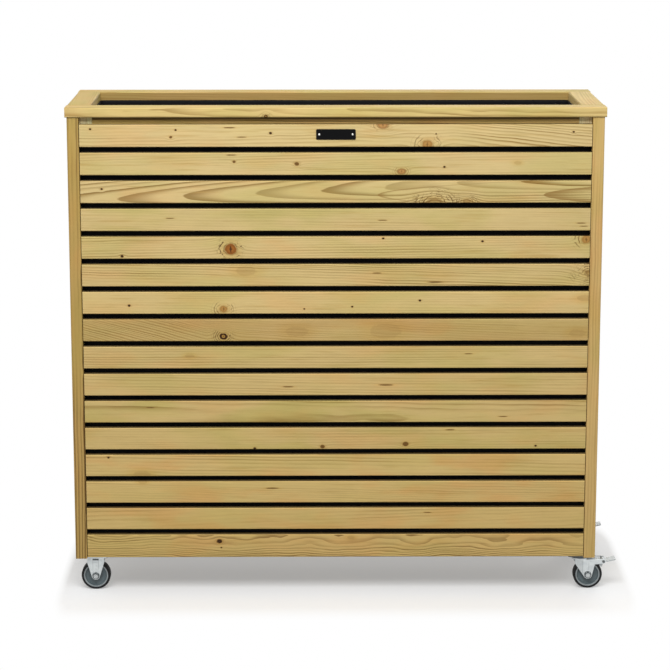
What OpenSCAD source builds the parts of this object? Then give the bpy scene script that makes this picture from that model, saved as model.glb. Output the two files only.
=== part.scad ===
/* [Rim] */
// Length of the rim, left to right
rim_l = 1200; // [1000:10:1400]
// Depth of the rim, front to back
rim_d = 360; // [340:10:460]
// Thickness of the rim boards
rim_t = 22; // [18:1:28]
// Width of each rim board
rim_board_w = 52; // [48:1:64]
// How far the rim reaches past the walls
rim_overhang = 4; // [2:1:10]
// Gap at the butt joints between rim boards
rim_joint_gap = 0.5; // [0.2:0.1:2]

/* [Walls] */
// Number of slats in each wall
slat_count = 16; // [8:1:18]
// Height of a slat
slat_h = 50; // [40:1:65]
// Height of the lowest slat
base_slat_h = 54; // [40:1:70]
// Open gap between two slats
slat_gap = 13; // [6:1:20]
// Thickness of the slats
slat_t = 18; // [14:1:22]
// Gap between the slat ends and the corner posts
slat_end_gap = 1.5; // [0.5:0.5:4]
// Open gap between the rim and the highest slat
head_gap = 16; // [8:1:30]
// Width of a corner post, seen from the front
post_w = 26; // [22:1:40]
// Width of a corner post, seen from the side
post_d = 70; // [60:1:90]
// How far the posts reach below the lowest slats
post_drop = 3; // [1:1:10]

/* [Inner frame] */
// Width of the upright battens
batten_w = 29; // [22:1:36]
// Height of the rails under the rim
rail_h = 45; // [30:1:70]
// Width of the cross bearers under the floor
bearer_w = 90; // [70:1:120]
// Thickness of the cross bearers
bearer_t = 24; // [20:1:36]
// Thickness of the floor boards
floor_t = 18; // [14:1:24]
// Number of floor boards
floor_count = 3; // [2:1:5]
// Drainage gap between two floor boards
floor_gap = 4; // [2:1:8]
// Thickness of the black sheet behind the slats
membrane_t = 1; // [0.6:0.2:2]
// How far the sheet stays below the top of the highest slat
membrane_drop = 2; // [1:1:8]

/* [Planting liner] */
// Wall thickness of the liner
liner_t = 1.2; // [0.8:0.2:3]
// How far the liner laps up the inside of the rim
liner_lap = 3; // [1:1:8]
// Radius of the liner's upright corners
liner_corner_r = 8; // [4:1:20]
// Radius of a drainage hole
drain_r = 4; // [2:0.5:6]
// Number of drainage holes in each row
drain_count = 4; // [2:1:8]

/* [Name plate] */
// Length of the blank plate
plate_l = 88; // [50:1:140]
// Height of the blank plate
plate_h = 23.5; // [16:0.5:36]
// Thickness of the blank plate
plate_t = 1.5; // [1:0.5:3]
// Distance between its two pins
plate_pin_span = 74; // [36:1:74]
// Centre of the plate below the top of the rim
plate_drop = 60; // [55:1:75]

/* [Casters] */
// Radius of the wheels
wheel_r = 33.5; // [28:0.5:40]
// Width of the tyres
tyre_w = 20; // [16:1:28]
// Thickness of the rubber
tyre_t = 5.5; // [4:0.5:8]
// Radius of the axle bolts
axle_r = 4; // [3:0.5:5]
// Thickness of the pressed steel
steel_t = 2; // [1.5:0.5:3]
// Free space between the tyre and the crown above it
crown_gap = 3; // [2:0.5:8]
// Height of the swivel bearing
swivel_head_h = 9.5; // [9:0.5:14]
// Side of the square mounting plate
pad_w = 60; // [56:1:72]
// Thickness of the mounting plate
pad_t = 2.5; // [2:0.5:4]
// Distance between the screws, left to right
pad_screw_x = 44; // [40:1:46]
// Distance between the screws, front to back
pad_screw_y = 36; // [32:1:40]
// Middle of the fixed casters, in from the end of the rim
fixed_inset = 46.5; // [42:0.5:70]
// Swivel axis, in from the end of the rim
swivel_inset = 34; // [34:0.5:70]
// Middle of all casters, in from the long edge of the rim
caster_inset = 46; // [42:1:60]
// Distance from the swivel axis back to the axle
trail = 18; // [14:1:30]

/* [Brake] */
// Distance from the tread to the pedal's pin
pin_reach = 14.5; // [13:0.5:18]
// Length of the foot plate
pedal_l = 21; // [15:1:40]
// Width of the foot plate
pedal_w = 26; // [22:1:36]
// Tilt of the released foot plate
pedal_tilt = 12; // [5:1:20]
// Angle through which the pedal is pressed
pedal_travel = 18; // [10:1:22]

/* [Screws] */
// Radius of the slat screws
slat_screw_r = 2; // [1.5:0.5:2.5]
// How deep the slat screws bite into the slats
slat_screw_bite = 12; // [8:1:13]
// Radius of the caster screws
pad_screw_r = 2.25; // [2:0.25:2.5]
// Length of the caster screws below their heads
pad_screw_l = 22; // [16:1:26]

/* [Hidden] */

$fn = 48;
pine = [0.84, 0.70, 0.44];
pine_dark = [0.66, 0.52, 0.30];
pine_pale = [0.90, 0.80, 0.58];
sheet_black = [0.06, 0.06, 0.06];
zinc = [0.78, 0.80, 0.82];
rubber = [0.08, 0.08, 0.09];
hub_grey = [0.30, 0.33, 0.37];

// Eased edges of planed wood
edge_r = 2;
// Running clearance round a shaft, and the wider one between pieces that only pass
shaft_gap = 0.05;
free_gap = 0.3;
// A cut runs this far past the face that it opens
past = 1;

// Swivel casters: heights from the ground up
crown_z = 2*wheel_r + crown_gap;
crown_top = crown_z + steel_t;
caster_h = crown_top + swivel_head_h + pad_t;
pad_z = caster_h - pad_t;

// Heights of the box
wall_z = caster_h + post_drop;
slat_pitch = slat_h + slat_gap;
wall_top = wall_z + base_slat_h + (slat_count - 1)*slat_pitch;
rim_z = wall_top + head_gap;
rim_top = rim_z + rim_t;
bearer_top = caster_h + bearer_t;
floor_top = bearer_top + floor_t;
liner_top = rim_z + liner_lap;

// Outer and inner faces of the walls, as distances from the middle
wall_x = rim_l/2 - rim_overhang;
wall_y = rim_d/2 - rim_overhang;
post_x = wall_x - post_w;
post_y = wall_y - post_d;
frame_x = wall_x - slat_t - membrane_t;
frame_y = wall_y - slat_t - membrane_t;
room_x = rim_l/2 - rim_board_w;
room_y = rim_d/2 - rim_board_w;

// Small fixed sizes of the box
name_plate_r = 3;
label_pin_r = 1.2;
label_pin_l = 12;
label_head_r = 3;
label_head_h = 1.6;

// Casters
fixed_x = -(rim_l/2 - fixed_inset);
swivel_x = rim_l/2 - swivel_inset;
axle_x = swivel_x + trail;
caster_y = rim_d/2 - caster_inset;
pad_corner_r = 6;
hub_r = wheel_r - tyre_t;
hub_half = tyre_w/2 + 1.5;
hub_boss_r = axle_r + 5;
hub_boss_taper = 1.5;
hub_web_half = 3.6;
hub_lip_w = 3;
hub_lip_step = 0.5;
fork_in = hub_half + 0.5;
fork_out = fork_in + steel_t;
eye_r = axle_r + 5.5;
bolt_flat = 2*axle_r + 5;
bolt_head_h = 0.4*bolt_flat;
bolt_end = 2;
nut_h = 1.6*axle_r;

// Legs of the fixed casters: straight down to the top of the wheel, then tapered to the eye
leg_half = 20;
leg_taper_z = 2*wheel_r;
rib_w = 13;
rib_t = 0.8;
rib_rise = 5;
slot_h = 2;
slot_drop = 6;

// Swivel bearing
kingpin_r = 5;
kingpin_head_r = 8;
kingpin_head_h = 2.2;
race_r = 19.5;
ball_r = 2.2;
ball_count = 18;
ball_ring_r = 16.5;
ball_gap = 0.1;
lower_race_h = 2.6;
skirt_w = 2;
skirt_gap = 0.5;
ball_z = crown_top + lower_race_h + ball_gap + ball_r;
upper_race_z = ball_z + ball_r + free_gap;

// Fork: how far it reaches ahead of the swivel axis, its straight front edge, and its heel
fork_nose = 12;
fork_nose_h = 11;
fork_heel = 4.5;
fork_bend_r = 3;
arm_l = 20;
arm_drop = 2;
hood_gap = 2.5;

// Brake: the pin lies up and back from the axle, and the lobe turns about it
pin_angle = 41.5;
pin_r = 2;
ear_r = 5;
barrel_r = 4.2;
lobe_gap = 0.5;
lobe_r = pin_reach - lobe_gap;
lobe_spread = 34;
pin_dx = (wheel_r + pin_reach)*cos(pin_angle);
pin_dz = (wheel_r + pin_reach)*sin(pin_angle);
lever_t = 2.4;
lever_dx = ear_r + 2.5;
foot_corner_r = 3;
pin_head_t = 1.2;
pedal_side_gap = 1;
pedal_inner_w = 2*(fork_in - pedal_side_gap);
pedal_tip_x = axle_x + pin_dx + lever_dx + pedal_l*cos(pedal_tilt) + lever_t/2*sin(pedal_tilt);

// The origin is on the ground at the middle of the footprint, brake pedals included
shift_x = (rim_l/2 - max(pedal_tip_x, rim_l/2))/2;

function slat_bottom(i) = i == 0 ? wall_z : wall_z + base_slat_h + slat_gap + (i - 1)*slat_pitch;
function slat_height(i) = i == 0 ? base_slat_h : slat_h;
function slat_mid(i) = slat_bottom(i) + slat_height(i)/2;
// Point where a line from p touches the circle of radius r about the origin
function tangent_at(p, r, side) =
    let (a = atan2(p.y, p.x) + side*acos(r/norm(p))) [r*cos(a), r*sin(a)];

module placed() {
    translate([shift_x, 0, 0]) children();
}

module rounded(size, r) {
    square([size.x - 2*r, size.y], center = true);
    square([size.x, size.y - 2*r], center = true);
    for (i = [-1, 1], j = [-1, 1])
        translate([i*(size.x/2 - r), j*(size.y/2 - r)]) circle(r);
}

// Bar between two corners, with its four edges along the given axis rounded
module beam(lo, hi, axis, r = edge_r) {
    size = hi - lo;
    translate((lo + hi)/2) {
        if (axis == 0)
            rotate([0, 90, 0]) linear_extrude(size.x, center = true) rounded([size.z, size.y], r);
        if (axis == 1)
            rotate([90, 0, 0]) linear_extrude(size.y, center = true) rounded([size.x, size.z], r);
        if (axis == 2)
            linear_extrude(size.z, center = true) rounded([size.x, size.y], r);
    }
}

// Drawn along Y: turns a flat XZ outline into a plate from y0 to y1
module plate_y(y0, y1) {
    translate([0, y1, 0]) rotate([90, 0, 0]) linear_extrude(y1 - y0) children();
}

module rod_y(y0, y1, r) {
    translate([0, y1, 0]) rotate([90, 0, 0]) cylinder(h = y1 - y0, r = r);
}

// Slat screws

long_screw_x = [-(post_x - batten_w/2), 0, post_x - batten_w/2];
short_screw_y = [-(post_y - batten_w/2), post_y - batten_w/2];

module slat_screw(r, reach) {
    cylinder(h = reach, r = r);
    cylinder(h = r, r1 = 2*r, r2 = r);
}

// Screws into one slat of the front wall, from the inner face of the battens outwards
module long_wall_screws(i, grow) {
    reach = wall_y - slat_t + slat_screw_bite - room_y;
    for (x = long_screw_x)
        translate([x, -room_y, slat_mid(i)]) rotate([90, 0, 0])
            slat_screw(slat_screw_r + grow, reach + grow);
}

module short_wall_screws(i, grow) {
    reach = wall_x - slat_t + slat_screw_bite - room_x;
    for (y = short_screw_y)
        translate([room_x, y, slat_mid(i)]) rotate([0, 90, 0])
            slat_screw(slat_screw_r + grow, reach + grow);
}

module all_slat_screws(grow = 0) {
    for (i = [0 : slat_count - 1]) {
        long_wall_screws(i, grow);
        mirror([0, 1, 0]) long_wall_screws(i, grow);
        short_wall_screws(i, grow);
        mirror([1, 0, 0]) short_wall_screws(i, grow);
    }
}

module slat_screws() {
    color(zinc) placed() all_slat_screws();
}

// Walls

module long_slat(i) {
    half = post_x - slat_end_gap;
    z = slat_bottom(i);
    difference() {
        beam([-half, -wall_y, z], [half, slat_t - wall_y, z + slat_height(i)], 0);
        long_wall_screws(i, shaft_gap);
    }
}

module short_slat(i) {
    half = post_y - slat_end_gap;
    z = slat_bottom(i);
    difference() {
        beam([wall_x - slat_t, -half, z], [wall_x, half, z + slat_height(i)], 1);
        short_wall_screws(i, shaft_gap);
    }
}

// Slats are counted from the top
module front_slat(number) {
    if (number <= slat_count)
        color(pine) placed() difference() {
            long_slat(slat_count - number);
            if (number == 1) label_pin_pair(shaft_gap);
        }
}

module back_slats() {
    color(pine) placed() mirror([0, 1, 0])
        for (i = [0 : slat_count - 1]) long_slat(i);
}

module side_slats() {
    color(pine) placed() for (side = [0, 1]) mirror([side, 0, 0])
        for (i = [0 : slat_count - 1]) short_slat(i);
}

module corner_post(x_side, y_side) {
    color(pine_dark) placed() difference() {
        mirror([x_side < 0 ? 1 : 0, 0, 0]) mirror([0, y_side < 0 ? 1 : 0, 0])
            beam([post_x, post_y, caster_h], [wall_x, wall_y, rim_z], 2);
        pad_screw_set(shaft_gap);
    }
}

// Rim

module long_rim(y_side) {
    color(pine_pale) placed() mirror([0, y_side > 0 ? 1 : 0, 0])
        beam([-rim_l/2, -rim_d/2, rim_z], [rim_l/2, -room_y, rim_top], 0, 1.5*edge_r);
}

module short_rim(x_side) {
    half = room_y - rim_joint_gap;
    color(pine_pale) placed() mirror([x_side < 0 ? 1 : 0, 0, 0])
        beam([room_x, -half, rim_z], [rim_l/2, half, rim_top], 1, 1.5*edge_r);
}

// Inner frame

module frame_battens() {
    rail_z = rim_z - rail_h;
    long_rail = post_x - batten_w - free_gap;
    short_rail = post_y - batten_w - free_gap;
    color(pine_pale) placed() difference() {
        for (sx = [0, 1], sy = [0, 1]) mirror([sx, 0, 0]) mirror([0, sy, 0]) {
            beam([post_x - batten_w, room_y, bearer_top], [post_x, frame_y, rim_z], 2);
            beam([room_x, post_y - batten_w, bearer_top], [frame_x, post_y, rim_z], 2);
        }
        all_slat_screws(shaft_gap);
    }
    color(pine_pale) placed() difference() {
        for (sy = [0, 1]) mirror([0, sy, 0]) {
            beam([-batten_w/2, room_y, bearer_top], [batten_w/2, frame_y, rail_z - free_gap], 2);
            beam([-long_rail, room_y, rail_z], [long_rail, frame_y, rim_z], 0);
        }
        all_slat_screws(shaft_gap);
    }
    color(pine_pale) placed() for (sx = [0, 1]) mirror([sx, 0, 0])
        beam([room_x, -short_rail, rail_z], [frame_x, short_rail, rim_z], 1);
}

module backing_membrane() {
    top = wall_top - membrane_drop;
    color(sheet_black) placed() difference() {
        union() {
            for (sy = [0, 1]) mirror([0, sy, 0])
                translate([free_gap - post_x, frame_y, wall_z])
                    cube([2*(post_x - free_gap), membrane_t, top - wall_z]);
            for (sx = [0, 1]) mirror([sx, 0, 0])
                translate([frame_x, free_gap - post_y, wall_z])
                    cube([membrane_t, 2*(post_y - free_gap), top - wall_z]);
        }
        all_slat_screws(shaft_gap);
    }
}

module floor_bearers() {
    ends = post_x - bearer_w/2;
    color(pine_dark) placed() difference() {
        for (x = [-ends, 0, ends])
            beam([x - bearer_w/2, -frame_y, caster_h], [x + bearer_w/2, frame_y, bearer_top], 1);
        pad_screw_set(shaft_gap);
    }
}

module floor_boards() {
    span = 2*(room_y - free_gap);
    board = (span - (floor_count - 1)*floor_gap)/floor_count;
    half = room_x - free_gap;
    color(pine_dark) placed() for (k = [0 : floor_count - 1]) {
        y = -span/2 + k*(board + floor_gap);
        beam([-half, y, bearer_top], [half, y + board, floor_top], 0);
    }
}

module planting_liner() {
    outer = [2*(room_x - free_gap), 2*(room_y - free_gap)];
    inner = outer - 2*[liner_t, liner_t];
    row_pitch = (outer.y + floor_gap)/floor_count;
    color(sheet_black) placed() difference() {
        translate([0, 0, floor_top])
            linear_extrude(liner_top - floor_top) rounded(outer, liner_corner_r);
        translate([0, 0, floor_top + liner_t])
            linear_extrude(liner_top - floor_top) rounded(inner, liner_corner_r - liner_t);
        for (k = [1 : floor_count - 1], n = [1 : drain_count])
            translate([outer.x*(n/(drain_count + 1) - 0.5), k*row_pitch - (outer.y + floor_gap)/2,
                floor_top - past])
                cylinder(h = liner_t + 2*past, r = drain_r);
    }
}

// Blank name plate on the highest slat

module label_pin_pair(grow = 0) {
    for (x = [-plate_pin_span/2, plate_pin_span/2])
        translate([x, 0, rim_top - plate_drop])
            rod_y(-wall_y - plate_t, label_pin_l - wall_y + grow, label_pin_r + grow);
}

module label_plate() {
    color(sheet_black) placed() difference() {
        translate([0, 0, rim_top - plate_drop])
            plate_y(-wall_y - plate_t, -wall_y) rounded([plate_l, plate_h], name_plate_r);
        translate([0, -past, 0]) label_pin_pair(shaft_gap);
        label_pin_pair(shaft_gap);
    }
}

module label_pins() {
    dome_r = (label_head_r^2 + label_head_h^2)/(2*label_head_h);
    color(zinc) placed() {
        label_pin_pair();
        for (x = [-plate_pin_span/2, plate_pin_span/2])
            translate([x, -wall_y - plate_t, rim_top - plate_drop]) rotate([90, 0, 0])
                intersection() {
                    translate([0, 0, label_head_h - dome_r]) sphere(dome_r);
                    cylinder(h = label_head_h, r = label_head_r);
                }
    }
}

// Caster fastening

module at_pad_holes() {
    for (x = [fixed_x, swivel_x], y = [-caster_y, caster_y], i = [-1, 1], j = [-1, 1])
        translate([x + i*pad_screw_x/2, y + j*pad_screw_y/2, pad_z]) children();
}

module pad_screw_set(grow = 0) {
    at_pad_holes() cylinder(h = pad_screw_l + grow, r = pad_screw_r + grow);
}

module caster_screws() {
    head_r = 2*pad_screw_r;
    head_h = 1.2*pad_screw_r;
    color(zinc) placed() {
        pad_screw_set();
        at_pad_holes() translate([0, 0, -head_h]) cylinder(h = head_h, r1 = 0.75*head_r, r2 = head_r);
    }
}

// Square pad with four screw holes, centred on the axis of its caster
module pad() {
    difference() {
        translate([0, 0, pad_z]) linear_extrude(pad_t) rounded([pad_w, pad_w], pad_corner_r);
        for (i = [-1, 1], j = [-1, 1])
            translate([i*pad_screw_x/2, j*pad_screw_y/2, pad_z - past])
                cylinder(h = pad_t + 2*past, r = pad_screw_r + free_gap);
    }
}

// Wheels, drawn about the Y axis with the axle at the origin

module hub() {
    bore_r = axle_r + shaft_gap;
    lip_r = hub_r - hub_lip_w;
    lip_half = tyre_w/2 - hub_lip_step;
    web_in_r = hub_boss_r + hub_boss_taper;
    web_out_r = lip_r - 1;
    half = [[bore_r, hub_half], [hub_boss_r, hub_half], [web_in_r, hub_web_half],
        [web_out_r, hub_web_half], [lip_r, lip_half], [hub_r, lip_half]];
    last = len(half) - 1;
    rotate([90, 0, 0]) rotate_extrude()
        polygon(concat(half, [for (k = [last : -1 : 0]) [half[k].x, -half[k].y]]));
}

module tyre() {
    shoulder = tyre_t/2;
    rotate([90, 0, 0]) rotate_extrude() {
        translate([hub_r, -tyre_w/2]) square([tyre_t - shoulder, tyre_w]);
        translate([hub_r, shoulder - tyre_w/2]) square([tyre_t, tyre_w - 2*shoulder]);
        for (s = [-1, 1])
            translate([wheel_r - shoulder, s*(tyre_w/2 - shoulder)]) circle(shoulder);
    }
}

module axle_bolt(y_out) {
    head_r = bolt_flat/sqrt(3);
    rod_y(-y_out, y_out + nut_h + bolt_end, axle_r);
    rotate([90, 0, 0]) translate([0, 0, y_out]) cylinder(h = bolt_head_h, r = head_r, $fn = 6);
    difference() {
        rotate([90, 0, 0]) translate([0, 0, -y_out - nut_h]) cylinder(h = nut_h, r = head_r, $fn = 6);
        rod_y(0, y_out + nut_h + past, axle_r + shaft_gap);
    }
}

module at_fixed(y_side) {
    placed() translate([fixed_x, y_side*caster_y, 0]) children();
}

module at_fixed_axle(y_side) {
    at_fixed(y_side) translate([0, 0, wheel_r]) children();
}

module at_swivel(y_side) {
    placed() translate([swivel_x, y_side*caster_y, 0]) children();
}

module at_swivel_axle(y_side) {
    at_swivel(y_side) translate([trail, 0, wheel_r]) children();
}

// Fixed caster: a pad with two pressed legs

module fixed_leg_outline() {
    shoulder = [leg_half, leg_taper_z - wheel_r];
    low = tangent_at(shoulder, eye_r, -1);
    circle(eye_r);
    polygon([[-low.x, low.y], low, shoulder, [leg_half, pad_z - wheel_r],
        [-leg_half, pad_z - wheel_r], [-shoulder.x, shoulder.y]]);
}

module fixed_bracket(y_side) {
    rib_low = eye_r + rib_rise;
    rib_high = leg_taper_z - wheel_r;
    color(zinc) {
        at_fixed(y_side) pad();
        at_fixed_axle(y_side) difference() {
            union() {
                for (s = [0, 1]) mirror([0, s, 0]) {
                    plate_y(fork_in, fork_out) fixed_leg_outline();
                    translate([0, 0, (rib_low + rib_high)/2])
                        plate_y(fork_out, fork_out + rib_t)
                            rounded([rib_w, rib_high - rib_low], rib_w/2 - 0.5);
                }
            }
            rod_y(-2*fork_out, 2*fork_out, axle_r + shaft_gap);
            translate([-rib_w/2, -2*fork_out, pad_z - wheel_r - slot_drop])
                cube([rib_w, 4*fork_out, slot_h]);
        }
    }
}

module fixed_axles() {
    color(zinc) for (s = [-1, 1]) at_fixed_axle(s) axle_bolt(fork_out);
}

// Swivel caster

module swivel_plate(y_side) {
    skirt_z = ball_z - ball_r;
    color(zinc) at_swivel(y_side) difference() {
        union() {
            pad();
            difference() {
                translate([0, 0, skirt_z])
                    cylinder(h = pad_z - skirt_z, r = race_r + skirt_gap + skirt_w);
                translate([0, 0, skirt_z - past])
                    cylinder(h = upper_race_z - skirt_z + past, r = race_r + skirt_gap);
            }
        }
        translate([0, 0, crown_top]) cylinder(h = caster_h, r = kingpin_r + shaft_gap);
    }
}

module kingpin(y_side) {
    color(zinc) at_swivel(y_side) {
        translate([0, 0, crown_z - free_gap]) cylinder(h = caster_h - crown_z + free_gap, r = kingpin_r);
        translate([0, 0, crown_z - free_gap - kingpin_head_h])
            cylinder(h = kingpin_head_h, r1 = kingpin_head_r - 1, r2 = kingpin_head_r);
    }
}

module swivel_balls(y_side) {
    color(zinc) at_swivel(y_side) for (k = [0 : ball_count - 1])
        rotate([0, 0, k*360/ball_count]) translate([ball_ring_r, 0, ball_z]) sphere(ball_r);
}

// Side of the fork, with the axle at the origin, the pin's ear behind it and the crown above
module fork_outline() {
    top = crown_top - wheel_r;
    front = -trail - fork_nose;
    front_low = [front, top - fork_nose_h];
    back_low = [eye_r + fork_heel, wheel_r/2];
    under_arm = [pin_dx - arm_l, pin_dz - ear_r - arm_drop];
    front_touch = tangent_at(front_low, eye_r, 1);
    back_touch = tangent_at(back_low, eye_r, -1);
    circle(eye_r);
    translate([pin_dx, pin_dz]) circle(ear_r);
    polygon([[front, top], front_low, front_touch, [0, 0], back_touch, back_low, under_arm,
        [pin_dx, pin_dz - ear_r], [pin_dx, pin_dz + ear_r], [pin_dx - arm_l, top]]);
}

module swivel_fork(y_side) {
    top = crown_top - wheel_r;
    front = -trail - fork_nose;
    hood_end = pin_dx - barrel_r - hood_gap;
    color(zinc) at_swivel_axle(y_side) difference() {
        union() {
            intersection() {
                union() {
                    for (s = [0, 1]) mirror([0, s, 0]) plate_y(fork_in, fork_out) fork_outline();
                    plate_y(-fork_out, fork_out) polygon([[front, top], [front, top - steel_t],
                        [pin_dx - arm_l, top - steel_t], [hood_end, pin_dz + ear_r - steel_t],
                        [hood_end, pin_dz + ear_r], [pin_dx - arm_l, top]]);
                }
                beam([front - past, -fork_out, -4*wheel_r], [2*wheel_r + pin_reach, fork_out, top], 0,
                    fork_bend_r);
            }
            translate([-trail, 0, top - steel_t/2])
                cylinder(h = steel_t/2 + lower_race_h, r = race_r);
        }
        translate([-trail, 0, 0]) cylinder(h = 2*wheel_r, r = kingpin_r + shaft_gap);
        rod_y(-2*fork_out, 2*fork_out, axle_r + shaft_gap);
        translate([pin_dx, 0, pin_dz]) rod_y(-2*fork_out, 2*fork_out, pin_r + shaft_gap);
    }
}

module swivel_axle(y_side) {
    color(zinc) at_swivel_axle(y_side) axle_bolt(fork_out);
}

module lobe_outline() {
    mid = 180 + pin_angle + pedal_travel;
    intersection() {
        circle(lobe_r);
        polygon([[0, 0], for (s = [-1, 1]) 2*lobe_r*[cos(mid + s*lobe_spread/2), sin(mid + s*lobe_spread/2)]]);
    }
}

// Foot pedal about its pin: barrel and brake lobe inside the fork, foot plate behind it
module brake_pedal(y_side) {
    color(zinc) at_swivel_axle(y_side) translate([pin_dx, 0, pin_dz]) difference() {
        union() {
            plate_y(-pedal_inner_w/2, pedal_inner_w/2) {
                circle(barrel_r);
                lobe_outline();
                translate([0, -lever_t/2]) square([lever_dx + 1, lever_t]);
            }
            translate([lever_dx, 0, 0]) rotate([0, -pedal_tilt, 0])
                linear_extrude(lever_t, center = true)
                    translate([pedal_l/2, 0]) rounded([pedal_l, pedal_w], foot_corner_r);
        }
        rod_y(-pedal_w, pedal_w, pin_r + shaft_gap);
    }
}

module pedal_pin(y_side) {
    color(zinc) at_swivel_axle(y_side) translate([pin_dx, 0, pin_dz]) {
        rod_y(-fork_out, fork_out, pin_r);
        for (s = [0, 1]) mirror([0, s, 0]) rod_y(fork_out, fork_out + pin_head_t, 1.6*pin_r);
    }
}

front_slat(1);  // front_slat_01
front_slat(2);  // front_slat_02
front_slat(3);  // front_slat_03
front_slat(4);  // front_slat_04
front_slat(5);  // front_slat_05
front_slat(6);  // front_slat_06
front_slat(7);  // front_slat_07
front_slat(8);  // front_slat_08
front_slat(9);  // front_slat_09
front_slat(10);  // front_slat_10
front_slat(11);  // front_slat_11
front_slat(12);  // front_slat_12
front_slat(13);  // front_slat_13
front_slat(14);  // front_slat_14
front_slat(15);  // front_slat_15
front_slat(16);  // front_slat_16
back_slats();
side_slats();
corner_post(-1, -1);  // corner_post_front_left
corner_post(1, -1);  // corner_post_front_right
corner_post(-1, 1);  // corner_post_back_left
corner_post(1, 1);  // corner_post_back_right
long_rim(-1);  // rim_board_front
long_rim(1);  // rim_board_back
short_rim(-1);  // rim_board_left
short_rim(1);  // rim_board_right
frame_battens();
backing_membrane();
planting_liner();
floor_boards();
floor_bearers();
label_plate();
label_pins();
slat_screws();
caster_screws();
fixed_bracket(-1);  // fixed_bracket_front
fixed_bracket(1);  // fixed_bracket_back
fixed_axles();
color(hub_grey) at_fixed_axle(-1) hub();  // fixed_hub_front
color(hub_grey) at_fixed_axle(1) hub();  // fixed_hub_back
color(rubber) at_fixed_axle(-1) tyre();  // fixed_tyre_front
color(rubber) at_fixed_axle(1) tyre();  // fixed_tyre_back
swivel_plate(-1);  // swivel_plate_front
swivel_plate(1);  // swivel_plate_back
kingpin(-1);  // kingpin_front
kingpin(1);  // kingpin_back
swivel_balls(-1);  // swivel_balls_front
swivel_balls(1);  // swivel_balls_back
swivel_fork(-1);  // swivel_fork_front
swivel_fork(1);  // swivel_fork_back
swivel_axle(-1);  // swivel_axle_front
swivel_axle(1);  // swivel_axle_back
color(hub_grey) at_swivel_axle(-1) hub();  // swivel_hub_front
color(hub_grey) at_swivel_axle(1) hub();  // swivel_hub_back
color(rubber) at_swivel_axle(-1) tyre();  // swivel_tyre_front
color(rubber) at_swivel_axle(1) tyre();  // swivel_tyre_back
brake_pedal(-1);  // brake_pedal_front
brake_pedal(1);  // brake_pedal_back
pedal_pin(-1);  // pedal_pin_front
pedal_pin(1);  // pedal_pin_back
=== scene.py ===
import math
import random

import bmesh
import bpy
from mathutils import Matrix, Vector, noise


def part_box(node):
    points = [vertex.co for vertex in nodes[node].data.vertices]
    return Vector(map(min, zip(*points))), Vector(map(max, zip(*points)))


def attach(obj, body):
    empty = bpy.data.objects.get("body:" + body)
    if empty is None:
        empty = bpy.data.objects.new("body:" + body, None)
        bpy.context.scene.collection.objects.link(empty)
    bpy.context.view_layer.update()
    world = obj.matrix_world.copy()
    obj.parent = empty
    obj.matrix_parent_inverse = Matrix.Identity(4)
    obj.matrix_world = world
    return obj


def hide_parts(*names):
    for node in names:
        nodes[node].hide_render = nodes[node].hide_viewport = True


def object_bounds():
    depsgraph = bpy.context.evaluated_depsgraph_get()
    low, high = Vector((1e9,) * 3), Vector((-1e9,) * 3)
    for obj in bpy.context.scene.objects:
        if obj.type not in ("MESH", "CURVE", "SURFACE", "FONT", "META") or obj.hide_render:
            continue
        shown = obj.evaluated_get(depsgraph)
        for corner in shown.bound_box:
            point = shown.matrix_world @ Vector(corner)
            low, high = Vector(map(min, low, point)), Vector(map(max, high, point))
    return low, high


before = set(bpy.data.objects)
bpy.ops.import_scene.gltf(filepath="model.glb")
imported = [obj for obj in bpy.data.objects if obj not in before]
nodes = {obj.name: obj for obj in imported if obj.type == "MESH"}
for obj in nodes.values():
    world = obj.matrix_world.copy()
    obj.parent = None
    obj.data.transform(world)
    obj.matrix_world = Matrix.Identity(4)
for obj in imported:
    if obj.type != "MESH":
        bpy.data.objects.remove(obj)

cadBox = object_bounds()


def shade(red, green, blue):  # a colour as a picture editor shows it, made linear
    return tuple((c / 255 / 12.92) if c < 11 else ((c / 255 + 0.055) / 1.055) ** 2.4
                 for c in (red, green, blue)) + (1.0,)


def linear(color):  # wires and colours that are linear already stay as they are
    return shade(*color) if isinstance(color, tuple) and len(color) == 3 else color


def named(*starts):
    return sorted(name for name in nodes if name.startswith(starts))


def middle(name):
    low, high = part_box(name)
    return (low + high) / 2


def operation(kind, turned=False):  # makes a method of Wire; turned has the other value first
    if turned:
        return lambda self, other: self.math(kind, other, self)
    return lambda self, *others: self.math(kind, self, *others)


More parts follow.
